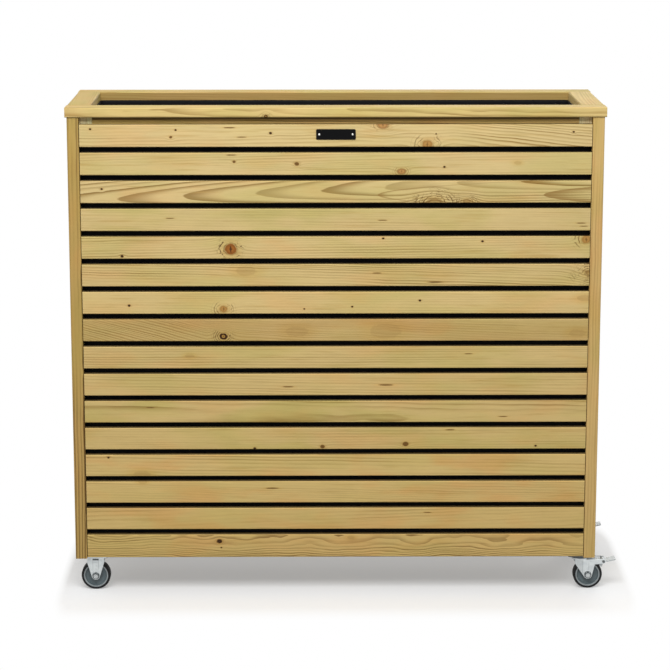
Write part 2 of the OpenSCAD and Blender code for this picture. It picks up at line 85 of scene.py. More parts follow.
class Wire:  # one shader socket that takes part in Python expressions
    def __init__(self, tree, socket=None):
        self.tree = tree
        self.socket = socket

    def node(self, kind, settings=None, inputs=None, output=0):
        made = self.tree.nodes.new("ShaderNode" + kind)
        for key, value in (settings or {}).items():
            setattr(made, key, value)
        for key, value in (inputs or {}).items():
            if isinstance(value, Wire):
                self.tree.links.new(value.socket, made.inputs[key])
            else:
                made.inputs[key].default_value = value
        return Wire(self.tree, made.outputs[output] if made.outputs else None)

    def math(self, operation, *values):
        return self.node("Math", {"operation": operation}, dict(enumerate(values)))

    __add__, __radd__ = operation("ADD"), operation("ADD", True)
    __sub__, __rsub__ = operation("SUBTRACT"), operation("SUBTRACT", True)
    __mul__, __rmul__ = operation("MULTIPLY"), operation("MULTIPLY", True)
    __truediv__, __pow__ = operation("DIVIDE"), operation("POWER")
    __abs__, most = operation("ABSOLUTE"), operation("MAXIMUM")
    whole, part = operation("FLOOR"), operation("FRACT")  # part is what is left above the whole number
    sign, sine = operation("SIGN"), operation("SINE")

    def smooth(self, low, high):  # 0 at low, 1 at high, and the other way round if low is above high
        return self.node("MapRange", {"interpolation_type": "SMOOTHSTEP"}, {0: self, 1: low, 2: high})

    def bell(self, width):  # 1 at zero, falling off over the width
        return self.math("EXPONENT", (self / width) ** 2.0 * -1.0)

    def vector(self, x, y, z):
        return self.node("CombineXYZ", inputs={0: x, 1: y, 2: z})

    def shift(self, other):
        return self.node("VectorMath", {"operation": "ADD"}, {0: self, 1: other})

    def dot(self, other):
        return self.node("VectorMath", {"operation": "DOT_PRODUCT"}, {0: self, 1: other}, "Value")

    def split(self):
        x = self.node("SeparateXYZ", inputs={0: self})
        return [Wire(self.tree, out) for out in x.socket.node.outputs]

    def noise(self, scale, detail=2.0, roughness=0.5):
        inputs = {"Vector": self, "Scale": scale, "Detail": detail, "Roughness": roughness}
        return self.node("TexNoise", inputs=inputs)

    def net(self, scale):  # distance to the nearest line of a net
        inputs = {"Vector": self, "Scale": scale}
        return self.node("TexVoronoi", {"feature": "DISTANCE_TO_EDGE"}, inputs, "Distance")

    def dice(self):  # three random numbers for each whole vector
        return self.node("TexWhiteNoise", inputs={"Vector": self}, output="Color").split()

    def mix(self, first, second):  # two colours, with this number as the factor
        return self.node("Mix", {"data_type": "RGBA"}, {0: self, 6: linear(first), 7: linear(second)}, 2)

    def dim(self, tone):  # this colour times a number or another colour
        settings = {"data_type": "RGBA", "blend_type": "MULTIPLY"}
        tone = (tone, tone, tone, 1.0) if isinstance(tone, float) else linear(tone)
        return self.node("Mix", settings, {0: 1.0, 6: self, 7: tone}, 2)


def startMaterial(name):
    material = bpy.data.materials.new(name)
    material.use_nodes = True
    material.node_tree.nodes.clear()
    start = Wire(material.node_tree)
    return material, start, start.node("TexCoord", output="Object")


def finishMaterial(start, color, roughness, height, relief, metal=0.0, gloss=0.5):
    bump = start.node("Bump", inputs={"Strength": 1.0, "Distance": relief, "Height": height})
    inputs = {"Base Color": color, "Roughness": roughness, "Metallic": metal, "Specular IOR Level": gloss,
              "Normal": bump}
    start.node("OutputMaterial", inputs={"Surface": start.node("BsdfPrincipled", inputs=inputs)})


def dress(material, names):
    for name in names:
        mesh = nodes[name].data
        mesh.materials.clear()
        mesh.materials.append(material)


# Timber. A board is cut from a log whose pith lies behind or beside its face, so the growth rings show
# as straight grain, as long arches or, on the ends, as arcs. Lengths are in metres.
pine = {
    "early": (210, 185, 125),  # spring wood, the pale part of a ring
    "late": (152, 119, 62),  # summer wood, its dark edge
    "dash": (186, 155, 92),  # short darker fibres
    "green": (236, 246, 222),  # two faint tints in large patches
    "rosy": (255, 236, 228),
    "brown": (178, 142, 84),  # boards that are browner all over
    "end": (170, 136, 84),  # end grain
    "deep": (62, 46, 26),  # edges that lie in shade
    "edge": (254, 250, 240),  # the rounded edges, which catch the light
    "ringWidth": 0.0052,
    "ringStrength": 0.4,
    "unevenness": 2.2,  # how much the rings differ in width
    "broken": 1.0,  # 0 draws every ring in one unbroken line
    "pithNear": 0.03,  # how far behind the face the pith lies: at least this, and up to pithFar more
    "pithFar": 0.05,
    "pithSide": 0.3,  # how far it lies to the side
    "lean": 0.02,  # how far it leaves the board's direction, in depth and sideways
    "drift": 0.05,
    "bend": 0.03,  # slow bends, fine waves and middling waves of the grain
    "wave": 0.0026,
    "waver": 0.004,
    "greenness": 0.6,
    "rosiness": 0.5,
    "brownness": 0.0,
    "tone": 1.0,
    "toneSpread": 0.06,  # how much one board differs from the next
    "knotEvery": 0.0,
    "arris": 0.0022,
    "gapDark": 0.0,
    "relief": 0.0005,
}

# How far each pattern is drawn out along the board, and how fine it is
patterns = {
    "ring": 0.07,
    "patch": 0.35,
    "waver": (0.3, 0.5, 24.0),
    "dash": (0.045, 170.0),
    "fleck": (0.05, 520.0),
    "bend": 6.0,
    "wave": 42.0,
    "broken": 30.0,
    "streak": 260.0,
    "fibre": 1500.0,
    "cloud": 38.0,
    "green": 13.0,
    "rosy": 19.0,
    "brown": 34.0,
    "wobble": 120.0,
    "patchy": 55.0,
}

# How each kind of knot or mark looks. Flow is how far it pushes the grain aside, in its own radii, and
# spread how far round it that is felt. Swell bunches the rings, and curl is the strength of the bent lines.
knotKinds = {
    "red": {"core": (156, 90, 26), "rim": (70, 38, 8), "halo": (246, 226, 194),
            "flow": 1.2, "spread": 2.3, "swell": 2.0, "stretch": 1.05, "dark": 0.95, "edge": 0.3,
            "crack": 0.9, "curl": 0.95, "curlReach": 2.8},
    "pink": {"core": (180, 122, 62), "rim": (112, 70, 28), "halo": (246, 228, 200),
             "flow": 1.0, "spread": 2.6, "swell": 1.6, "stretch": 1.4, "dark": 0.7, "edge": 0.45,
             "crack": 0.3, "curl": 0.6, "curlReach": 2.8},
    "amber": {"core": (176, 124, 56), "rim": (104, 68, 22), "halo": (246, 228, 200),
              "flow": 1.5, "spread": 2.8, "swell": 2.0, "stretch": 1.15, "dark": 0.8, "edge": 0.25,
              "crack": 0.5, "curl": 0.8, "curlReach": 3.6, "curlTurns": 8.0},
    "dark": {"core": (178, 132, 54), "rim": (52, 28, 2), "halo": (240, 222, 186),
             "flow": 1.6, "spread": 3.0, "swell": 2.2, "stretch": 1.15, "dark": 0.85, "edge": 1.0,
             "outline": (0.4, 0.62), "curl": 0.9, "curlReach": 4.2},
    "brown": {"core": (104, 68, 22), "rim": (74, 44, 10), "halo": (244, 224, 188),
              "flow": 1.3, "spread": 2.6, "swell": 0.8, "stretch": 1.2, "dark": 0.9, "edge": 0.35,
              "curl": 0.3, "curlReach": 2.8},
    "pin": {"core": (44, 24, 4), "rim": (72, 44, 12), "halo": (240, 218, 180),
            "flow": 1.5, "spread": 3.0, "swell": 0.3, "stretch": 1.2, "dark": 1.0, "edge": 0.7,
            "curl": 0.3, "curlReach": 3.0},
    "eye": {"core": (142, 106, 50), "rim": (106, 78, 36), "halo": (250, 236, 206),
            "flow": 0.3, "spread": 3.0, "swell": 2.5, "stretch": 1.7, "dark": 0.6, "edge": 0.4,
            "curl": 0.9, "curlReach": 4.8, "curlTurns": 11.0, "allRound": True},
    "streak": {"core": (92, 64, 28), "rim": (132, 98, 52), "halo": (250, 236, 206),
               "flow": 0.5, "spread": 2.5, "swell": 0.0, "stretch": 9.0, "dark": 0.9, "edge": 0.4},
    "stain": {"core": (164, 132, 78), "rim": (168, 136, 82), "halo": (248, 236, 206),
              "flow": 0.3, "spread": 1.6, "swell": 0.3, "stretch": 2.2, "dark": 0.35, "edge": 0.0},
    "tongue": {"core": (142, 108, 54), "width": 0.003, "length": 7.5, "dark": 0.8},
}


def boardNumbers(start, board):
    if isinstance(board, Wire):
        return start.vector(board, 3.0, 7.0).dice() + start.vector(board, 11.0, 5.0).dice()
    fixed = random.Random(board)
    return [fixed.random() for count in range(6)]


def scatteredKnot(start, lay, look):
    shift = lay.numbers[3]
    cell = (lay.along / look["knotEvery"] + shift).whole()
    first, second, third = start.vector(cell, lay.number, 1.0).dice()
    place = (cell + 0.5 + (first - 0.5) * 0.5 - shift) * look["knotEvery"]
    return {"kind": "red", "at": place, "up": (second - 0.5) * 1.8 * lay.half,
            "size": 0.0015 + 0.009 * third ** 3.0}


def pithPlace(lay, look):  # where the pith lies behind this point of the board
    numbers = lay.numbers
    side = look["pithAcross"] if "pithAcross" in look else (numbers[3] - 0.5) * look["pithSide"]
    deep = look["pithDepth"] if "pithDepth" in look else numbers[4] * look["pithFar"] + look["pithNear"]
    lean = look["slope"] if "slope" in look else (numbers[5] - 0.5) * 2.0 * look["lean"]
    drift = look["slant"] if "slant" in look else (numbers[0] - 0.5) * look["drift"]
    return side + lay.along * drift, deep + lay.along * lean


def drawnOut(start, lay, stretch, squeeze=None):  # the space of a board's own patterns
    across = lay.across * squeeze if squeeze else lay.across
    return start.vector(lay.along * stretch, across, lay.depth).shift(lay.jump)


def pushedAside(lay, knots, wobble):  # how far knots push the rings aside and bunch them, and their places
    flow, swell, marks = 0.0, 0.0, []
    for knot in knots:
        kind = knotKinds[knot["kind"]]
        run = (lay.along - knot["at"]) / kind["stretch"]
        rise = lay.across - knot["up"]
        distance = (run * run + rise * rise) ** 0.5
        reach = distance / knot["size"]
        fade = reach.bell(kind["spread"])
        flow = rise / (distance + knot["size"] * 0.35) * fade * (knot["size"] * kind["flow"]) + flow
        swell = fade * kind["swell"] + swell
        marks.append((reach + wobble, run / knot["size"] + wobble * 0.7, kind))
    return flow, swell, marks


def growthRings(start, lay, look, flow, swell):  # the dark summer edges of the rings, and their fine waves
    grain = drawnOut(start, lay, patterns["ring"])
    side, behind = pithPlace(lay, look)
    bend = (grain.noise(patterns["bend"], 1.0) - 0.5) * look["bend"]
    wave = (grain.noise(patterns["wave"], 4.0) - 0.5) * look["wave"]
    stretch, squeeze, scale = patterns["waver"]
    waver = (drawnOut(start, lay, stretch, squeeze).noise(scale, 2.0) - 0.5) * look["waver"]
    toSide = lay.across - side - flow + bend
    broken = 1.35 * grain.noise(patterns["broken"], 4.0, 0.6).smooth(0.36, 0.66) - 0.85
    broken = 1.0 + look["broken"] * broken
    if "veer" in look:  # from here to one end the grain runs at a slant, in lines that are less broken
        at, toward, slope = look["veer"]
        beyond = ((lay.along - at) * toward).most(0.0)
        toSide = toSide + beyond * slope
        broken = broken + beyond.smooth(0.0, 0.1) * 1.2
    inward = lay.depth + behind + bend * 0.7
    rings = ((toSide * toSide + inward * inward) ** 0.5 + wave + waver) / look["ringWidth"] + swell
    uneven = start.vector(rings * 0.23, lay.numbers[1], 2.0).noise(1.0, 1.0) - 0.5
    rings = rings + uneven * look["unevenness"]
    tooth = rings.part()
    strength = start.vector(rings.whole(), 4.0, 2.0).dice()[0]
    late = tooth.smooth(0.35, 0.94) * tooth.smooth(1.0, 0.955) * (0.4 + 0.6 * strength)
    return late * broken * look["ringStrength"], wave


def woodColor(start, lay, look, late):  # the colour of clear wood, and its streaks and fibres
    grain = drawnOut(start, lay, patterns["ring"])
    streak = grain.noise(patterns["streak"], 3.0, 0.6)
    fibre = grain.noise(patterns["fibre"], 2.0, 0.6)
    patch = drawnOut(start, lay, patterns["patch"])
    stretch, scale = patterns["dash"]
    dash = drawnOut(start, lay, stretch).noise(scale, 2.0).smooth(0.55, 0.78)
    stretch, scale = patterns["fleck"]
    fleck = drawnOut(start, lay, stretch).noise(scale, 2.0).smooth(0.58, 0.8)
    color = (dash * 0.6 + fleck * 0.35).mix(late.mix(look["early"], look["late"]), look["dash"])
    green = patch.noise(patterns["green"]).smooth(0.4, 0.66) * look["greenness"]
    color = green.mix(color, color.dim(look["green"]))
    rosy = patch.noise(patterns["rosy"]).smooth(0.46, 0.7) * look["rosiness"]
    color = rosy.mix(color, color.dim(look["rosy"]))
    if look["brownness"]:
        veil = grain.noise(patterns["brown"], 3.0).smooth(0.3, 0.75) * 0.6 + 0.4
        color = (veil * look["brownness"]).mix(color, look["brown"])
    boardTone = look["tone"] + (lay.numbers[2] - 0.5) * look["toneSpread"]
    cloud = patch.noise(patterns["cloud"], 3.0)
    color = color.dim(0.82 + 0.13 * streak + 0.07 * fibre + 0.16 * cloud).dim(boardTone)
    return color, streak, fibre


def tongueColor(color, run, rise, size):  # the tip of one growth ring, dark where it begins
    kind = knotKinds["tongue"]
    inside = run - rise * rise / kind["width"]
    tip = inside.smooth(0.0, 0.003) * inside.smooth(kind["length"] * size, 0.0)
    return (tip * kind["dark"]).mix(color, kind["core"])


def knotColor(color, reach, run, kind, patchy):
    halo = reach.smooth(2.4, 0.9) * 0.5
    color = halo.mix(color, color.dim(kind["halo"]))
    if "curl" in kind:  # ring lines bent round the left and right of the knot, or all round it
        far = kind["curlReach"]
        curl = ((reach + patchy * 0.9) * kind.get("curlTurns", 10.0)).sine().smooth(0.3, 1.0)
        curl = curl * reach.smooth(far, 1.2 + far * 0.2) * reach.smooth(1.0, 1.25) * patchy
        beside = 1.0 if "allRound" in kind else (abs(run) / reach).smooth(0.35, 0.85)
        color = (curl * beside * kind["curl"]).mix(color, kind["rim"])
    rings = (reach * 12.0).sine() * 0.14 + 0.14
    core = (reach.smooth(0.4, 0.1) * 0.5 + rings).mix(kind["core"], kind["rim"])
    color = (reach.smooth(1.06, 0.86) * kind["dark"]).mix(color, core)
    if "crack" in kind:
        crack = abs(run).smooth(0.2, 0.05) * reach.smooth(0.75, 0.45)
        color = (crack * kind["crack"]).mix(color, kind["rim"])
    low, high = kind.get("outline", (0.6, 0.85))
    outline = reach.smooth(low, high) * reach.smooth(1.32, 1.1)
    return (outline * kind["edge"]).mix(color, kind["rim"])


def edgeColor(start, lay, look, color, late):  # end grain, the painted highlight on the edges, and painted shade in gaps and corners
    across, depth, half = lay.across, lay.depth, lay.half
    facing = start.node("TexCoord", output="Normal").dot(lay.direction)
    ends = abs(facing).smooth(0.6, 0.85)
    color = (ends * 0.75).mix(color, late.mix(look["end"], look["brown"]))
    arris = abs(across).smooth(half - look["arris"], half) * depth.smooth(look["arris"], 0.0)
    color = (arris * 0.5).mix(color, color.dim(look["edge"]).dim(1.12))
    if "paintedInsideShade" in look:  # painted shade on the rim board's edge above the liner
        inside = depth.smooth(look["paintedInsideShade"] - 0.0006, look["paintedInsideShade"])
        color = (inside * 0.7).mix(color, look["late"])
    if "paintedFootShade" in look:  # painted shade along its lower edge
        foot = across.smooth(0.0025 - half, 0.0008 - half) * depth.smooth(0.002, 0.0)
        color = (foot * look["paintedFootShade"]).mix(color, look["deep"])
    if "eaveDark" in look:  # the strip that lies in the shade of the rim
        eave = across.smooth(look["eaveDark"] - 0.0035, look["eaveDark"])
        color = (eave * 0.8).mix(color, look["deep"])
    if look["gapDark"]:  # painted shade on the sides that face a gap
        sides = abs(across).smooth(half - 0.002, half - 0.0005)
        color = (sides * depth.smooth(0.0008, 0.0045) * look["gapDark"]).mix(color, look["deep"])
    return color, ends, arris


def timber(name, layBoard, knots=(), **changes):
    look = dict(pine, **changes)
    material, start, place = startMaterial(name)
    lay = layBoard(*place.split())
    lay.numbers = boardNumbers(start, lay.number)
    lay.jump = start.vector(*[number * 9.0 for number in lay.numbers[:3]])
    tongues = [knot for knot in knots if knot["kind"] == "tongue"]
    knots = [knot for knot in knots if knot["kind"] != "tongue"]
    if look["knotEvery"]:
        knots.append(scatteredKnot(start, lay, look))
    wobble = (place.noise(patterns["wobble"], 3.0, 0.6) - 0.5) * 0.6
    flow, swell, marks = pushedAside(lay, knots, wobble)
    late, wave = growthRings(start, lay, look, flow, swell)
    color, streak, fibre = woodColor(start, lay, look, late)
    for knot in tongues:
        run, rise = lay.along - knot["at"] + wave * 4.0, lay.across - knot["up"] + wave
        color = tongueColor(color, run, rise, knot["size"])
    patchy = place.noise(patterns["patchy"], 2.0).smooth(0.34, 0.54)
    for reach, run, kind in marks:
        color = knotColor(color, reach, run, kind, patchy)
    color, ends, arris = edgeColor(start, lay, look, color, late)
    roughness = 0.62 + 0.16 * fibre - 0.1 * late + ends * 0.1 - arris * 0.08
    height = fibre * 0.5 + streak * 0.35 - late * 0.6
    finishMaterial(start, color, roughness, height, look["relief"], gloss=0.2)
    return material


slatRows = 16
slatBoxes = [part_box(f"front_slat_{row:02d}") for row in range(1, slatRows + 1)]
slatPitch = slatBoxes[0][0].z - slatBoxes[1][0].z
lowestGap = (slatBoxes[-1][1].z + slatBoxes[-2][0].z) / 2
slatHalf = (slatBoxes[0][1].z - slatBoxes[0][0].z) / 2
middleX = middle("front_slat_01").x
lengthwise, crosswise, upright = (1.0, 0.0, 0.0), (0.0, 1.0, 0.0), (0.0, 0.0, 1.0)

# Marks on the front slats, counted from the top: kind, then millimetres right of the slat's middle,
# above its centre line and half across.
frontMarks = {
    1: [("pin", -544, 15, 1.9), ("pin", -355, 13, 1.8), ("pin", -145, 6, 2.4), ("brown", -366, -3, 2.6),
        ("streak", -236, 18, 1.4), ("streak", -209, -3, 1.1), ("pink", 104, 24, 8.0),
        ("amber", 203, -20, 10.0), ("pin", 222, 4, 1.3), ("pin", 527, 8, 1.9)],
    2: [("brown", -226, 5, 2.6), ("streak", -232, 20, 1.2), ("brown", -87, 0, 4.0), ("pink", 146, -17, 6.0),
        ("pin", 241, -7, 1.9), ("stain", 404, 2, 4.0)],
    3: [("pin", -521, 7, 2.0), ("tongue", 92, -7, 3.0), ("eye", 220, -24, 9.0), ("eye", 292, -22, 5.0),
        ("tongue", 462, -7, 14.0)],
    4: [("streak", 104, -1, 1.1), ("streak", 548, -8, 1.2), ("streak", 554, -15, 1.0),
        ("streak", -370, 4, 1.0)],
    5: [("red", -235, -3, 12.5), ("pin", -478, -19, 2.7), ("pin", 106, 21, 2.0), ("pin", 328, 14, 2.2),
        ("amber", 560, 18, 9.0)],
    6: [("stain", -201, 10, 11.0), ("streak", 93, 5, 1.1), ("streak", 223, -16, 1.8), ("eye", 574, 4, 8.0)],
    7: [("amber", -252, -14, 7.5), ("pin", -464, -6, 2.4), ("pin", -71, -14, 1.6), ("pin", 37, -9, 1.8),
        ("pin", 189, 5, 2.2), ("stain", 560, 10, 8.0)],
    8: [("dark", -253, -14, 6.4), ("stain", 112, -2, 17.0), ("stain", -88, -3, 12.0),
        ("stain", 545, -8, 9.0)],
    9: [("streak", 300, 8, 1.0), ("stain", -330, 4, 5.0)],
    10: [("streak", -108, -5, 1.3), ("streak", 114, -1, 1.7)],
    11: [("streak", -420, 10, 1.0), ("streak", 380, -12, 1.1)],
    12: [("pin", -184, -23, 2.4), ("brown", -30, -19, 4.0), ("brown", 159, -13, 5.0),
         ("streak", 260, 20, 1.2), ("pin", 455, -18, 2.0)],
    13: [("pin", -517, 19, 1.9), ("stain", -441, -21, 9.0)],
    14: [("streak", -144, 9, 1.5), ("stain", -440, 25, 5.0)],
    15: [("streak", 210, 14, 1.0)],
    16: [("pin", -266, 11, 4.6), ("pin", -262, -4, 1.4), ("stain", 35, 20, 4.0)],
}

slatFade = shade(212, 188, 132), shade(206, 177, 112)  # spring wood of the highest and lowest slat; the slats between grow darker and warmer downwards

# What sets single front slats apart from the usual board. Pith, slope and slant fix where the log's pith
# lies, and veer says from where the grain turns aside, towards which end and how steeply.
frontLooks = {
    1: {"bend": 0.06, "greenness": 0.3, "ringStrength": 0.5, "wave": 0.004, "waver": 0.008, "slant": 0.02,
        "ringWidth": 0.0068, "veer": (0.26, 1.0, 0.13)},
    2: {"ringStrength": 0.35},
    3: {"pithAcross": 0.006, "slant": 0.045, "pithDepth": 0.06, "slope": -0.024, "bend": 0.008,
        "wave": 0.0012, "waver": 0.0012, "broken": 0.0, "ringWidth": 0.0036, "ringStrength": 0.95,
        "unevenness": 0.3, "rosiness": 0.6, "late": (136, 104, 48)},
    4: {"greenness": 0.9, "rosiness": 0.1, "ringStrength": 0.3, "tone": 0.97},
    5: {"ringStrength": 0.55, "rosiness": 0.6},
    6: {"ringStrength": 0.8, "ringWidth": 0.005, "waver": 0.006, "slant": -0.02},
    7: {"tone": 1.04, "ringStrength": 0.25},
    8: {"brownness": 0.6, "ringStrength": 0.52, "pithAcross": 0.07, "slant": -0.03, "rosiness": 0.9,
        "waver": 0.008, "veer": (-0.29, -1.0, -0.24)},
    9: {"ringStrength": 0.5},
    10: {"ringStrength": 0.35},
    11: {"greenness": 0.9, "ringStrength": 0.6, "waver": 0.005, "tone": 0.98},
    12: {"greenness": 0.7, "ringStrength": 0.35},
    13: {"rosiness": 0.9, "greenness": 0.4, "ringStrength": 0.45, "ringWidth": 0.0075, "tone": 1.05},
    14: {"rosiness": 0.9, "greenness": 0.3, "ringStrength": 0.35, "waver": 0.007, "tone": 1.04},
    15: {"rosiness": 0.8, "greenness": 0.4, "ringStrength": 0.5, "ringWidth": 0.0068, "waver": 0.006,
         "tone": 1.03},
    16: {"late": (112, 82, 36), "wave": 0.008, "waver": 0.02, "ringStrength": 1.0, "broken": 0.6,
         "ringWidth": 0.0042, "pithAcross": 0.045, "bend": 0.05, "brownness": 0.2, "rosiness": 0.7,
         "greenness": 0.4, "tone": 1.08},
}


def marksOn(row):
    return [{"kind": kind, "at": at / 1000, "up": up / 1000, "size": size / 1000}
            for kind, at, up, size in frontMarks.get(row, [])]


class Board:  # the frame that a board's grain is drawn in; its number gives it rings of its own
    def __init__(self, along, across, depth, number, direction, half):
        self.along, self.across, self.depth = along, across, depth
        self.number, self.direction, self.half = number, direction, half


def slatLay(row):
    low, high = slatBoxes[row - 1]
    return lambda x, y, z: Board(
        x - middleX, z - (low.z + high.z) / 2, y - low.y, row, lengthwise, (high.z - low.z) / 2)


def wallRow(z):  # counts the slats of a wall upwards; the row below the lowest gap is -1
    row = ((z - lowestGap) / slatPitch).whole()
    return row, z - lowestGap - (row + 0.5) * slatPitch


def backLay(x, y, z):
    row, across = wallRow(z)
    return Board(x - middleX, across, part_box("back_slats")[1].y - y, row + 30.0, lengthwise, slatHalf)


def sideLay(x, y, z):
    row, across = wallRow(z)
    low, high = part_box("side_slats")
    side = (x - middleX).sign()
    return Board(y, across, (high.x - low.x) / 2 - (x - middleX) * side, row + side * 25.0 + 90.0,
                 crosswise, slatHalf)


def postLay(name):
    low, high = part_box(name)
    outer = low.y if low.y < 0 else high.y
    return lambda x, y, z: Board(
        z - (low.z + high.z) / 2, x - (low.x + high.x) / 2, abs(y - outer), sum(map(ord, name)), upright,
        (high.x - low.x) / 2)


def rimLay(name):  # the long boards are laid out from their outer edge, the short ones from the top
    low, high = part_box(name)
    centre = middle(name)
    board = sum(map(ord, name))
    if high.x - low.x > high.y - low.y:
        outer = low.y if low.y < 0 else high.y
        return lambda x, y, z: Board(x - centre.x, z - centre.z, abs(y - outer), board, lengthwise,
                                     (high.z - low.z) / 2)
    return lambda x, y, z: Board(y, x - centre.x, high.z - z, board, crosswise, (high.x - low.x) / 2)


noEdges = 1.0  # a half width that keeps the painted edge highlight off


def uprightLay(x, y, z):  # has no depth, as these battens show from all sides
    board = x.sign() * 2.0 + y.sign() + (x * 3.0).whole() * 10.0
    return Board(z, x + y, 0.0 * z, board, upright, noEdges)


def railLay(long):
    centre = middle("frame_battens").z
    return lambda x, y, z: Board(
        x if long else y, z - centre, abs(y if long else x - middleX), (y if long else x).sign() + 60.0,
        lengthwise if long else crosswise, noEdges)


def floorLay(x, y, z):
    low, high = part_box("floor_boards")
    width = (high.y - low.y) / 3
    board = ((y - low.y) / width).whole()
    across = y - low.y - (board + 0.5) * width
    return Board(x, across, high.z - z, board + 300.0, lengthwise, noEdges)


def bearerLay(x, y, z):
    low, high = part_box("floor_bearers")
    board = (x / (high.x - low.x) * 3.0 + 0.5).whole()
    return Board(y, x, z - low.z, board + 400.0, crosswise, noEdges)


for row in range(1, slatRows + 1):
    yellow = [top + (foot - top) * (row - 1) / (slatRows - 1) for top, foot in zip(*slatFade)]
    look = dict({"early": yellow, "gapDark": 0.8, "toneSpread": 0.02}, **frontLooks.get(row, {}))
    dress(timber(f"slatPine{row:02d}", slatLay(row), marksOn(row), **look), [f"front_slat_{row:02d}"])
dress(timber("backSlatPine", backLay, knotEvery=0.27, gapDark=0.8), ["back_slats"])
dress(timber("sideSlatPine", sideLay, knotEvery=0.31, gapDark=0.8), ["side_slats"])

postPine = {
    "front_left": {"early": (184, 152, 88), "late": (112, 84, 42), "ringStrength": 1.2},
    "front_right": {"early": (206, 173, 110), "late": (158, 122, 68), "ringStrength": 0.5},
    "back_left": {"early": (200, 168, 110), "late": (146, 112, 62), "ringStrength": 0.6},
    "back_right": {"early": (196, 164, 106), "late": (140, 106, 58), "ringStrength": 0.7},
}
for corner, look in postPine.items():
    name = "corner_post_" + corner
    dress(timber(name + "Pine", postLay(name), ringWidth=0.0048, pithAcross=0.05, **look), [name])

rimMarks = {"rim_board_front": [{"kind": "dark", "at": -0.155, "up": -0.008, "size": 0.003}]}
rimPine = {"early": (212, 186, 122), "ringStrength": 0.6, "ringWidth": 0.0042, "waver": 0.005,
           "paintedFootShade": 0.6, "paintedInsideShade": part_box("rim_board_front")[1].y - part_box("rim_board_front")[0].y}
for name in named("rim_board"):
    dress(timber(name + "Pine", rimLay(name), rimMarks.get(name, ()), **rimPine), [name])

# The inner frame: uprights behind the slat ends, and rails under the rim
innerFrame = {
    "battenWidth": 0.029,
    "railHeight": 0.045,
    "railColors": {"early": (228, 192, 120), "late": (150, 114, 60), "ringStrength": 0.9},
    "uprightColors": {"early": (255, 244, 196), "late": (214, 184, 122)},
    "eave": 0.0055,  # how much of a rail lies in the rim's shade
}


def dressFrame():
    mesh = nodes["frame_battens"].data
    mesh.materials.clear()
    mesh.materials.append(timber("uprightPine", uprightLay, **innerFrame["uprightColors"]))
    low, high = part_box("frame_battens")
    look = dict(innerFrame["railColors"], eaveDark=(high.z - low.z) / 2 - innerFrame["eave"])
    mesh.materials.append(timber("longRailPine", railLay(True), **look))
    mesh.materials.append(timber("shortRailPine", railLay(False), **look))
    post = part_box("corner_post_front_right")
    endX = post[0].x - middleX - innerFrame["battenWidth"]
    endY = abs(post[1].y) - innerFrame["battenWidth"]
    under = high.z - innerFrame["railHeight"] - 0.0001
    for face in mesh.polygons:
        if min(mesh.vertices[corner].co.z for corner in face.vertices) > under:
            if abs(face.center.x - middleX) < endX:
                face.material_index = 1
            elif abs(face.center.y) < endY:
                face.material_index = 2


dressFrame()
dress(timber("floorPine", floorLay, brownness=0.3), ["floor_boards"])
dress(timber("bearerPine", bearerLay, brownness=0.3), ["floor_bearers"])
print("timber: done")


# Thin black sheets. Each starts as a flat grid that a function bends into place.
def sheetPiece(name, columns, rows, bend, thickness):
    mesh = bmesh.new()
    bmesh.ops.create_grid(mesh, x_segments=columns, y_segments=rows, size=0.5)
    for point in mesh.verts:
        point.co = bend(point.co.x + 0.5, point.co.y + 0.5)
    bmesh.ops.remove_doubles(mesh, verts=mesh.verts, dist=0.00001)
    bmesh.ops.recalc_face_normals(mesh, faces=mesh.faces)
    bmesh.ops.solidify(mesh, geom=mesh.faces, thickness=thickness)
    bmesh.ops.recalc_face_normals(mesh, faces=mesh.faces)
    return newPiece(name, mesh)


def newPiece(name, mesh):
    data = bpy.data.meshes.new(name)
    mesh.to_mesh(data)
    mesh.free()
    data.shade_smooth()
    piece = bpy.data.objects.new(name, data)
    bpy.context.scene.collection.objects.link(piece)
    return piece


def ripple(x, y, z=0.0):  # from -1 to 1
    return noise.noise(Vector((x, y, z)))


# The woven membrane behind the slats: tight over the battens, a little slack between them
membrane = {
    "thickness": 0.0004,
    "slack": 0.0035,
    "pucker": 0.0008,
    "stapleSpacing": 0.09,
    "batten": 0.031,
    "clear": 0.0004,  # its distance from the posts and from the slats
    "behind": 0.0005,
    "step": 0.014,
    "thread": 0.0013,
    "black": (4, 4, 5),
    "worn": (13, 13, 14),
    "dust": (36, 33, 28),
}


def clothMaterial():
    material, start, place = startMaterial("membraneCloth")
    x, y, z = place.split()
    across = (x + y) * (math.pi / membrane["thread"])
    up = z * (math.pi / membrane["thread"])
    weave = abs(across.sine()) * 0.5 + abs(up.sine()) * 0.5
    slub = start.vector((x + y) * 0.2, z, 0.0).noise(900.0, 2.0)
    dust = place.noise(9.0, 3.0).smooth(0.45, 0.75)
    color = (weave * 0.6 + slub * 0.4).mix(membrane["black"], membrane["worn"])
    color = (dust * 0.15).mix(color, membrane["dust"])
    finishMaterial(start, color, 0.78 + 0.15 * slub, weave + slub * 0.4, 0.0003, gloss=0.15)
    return material


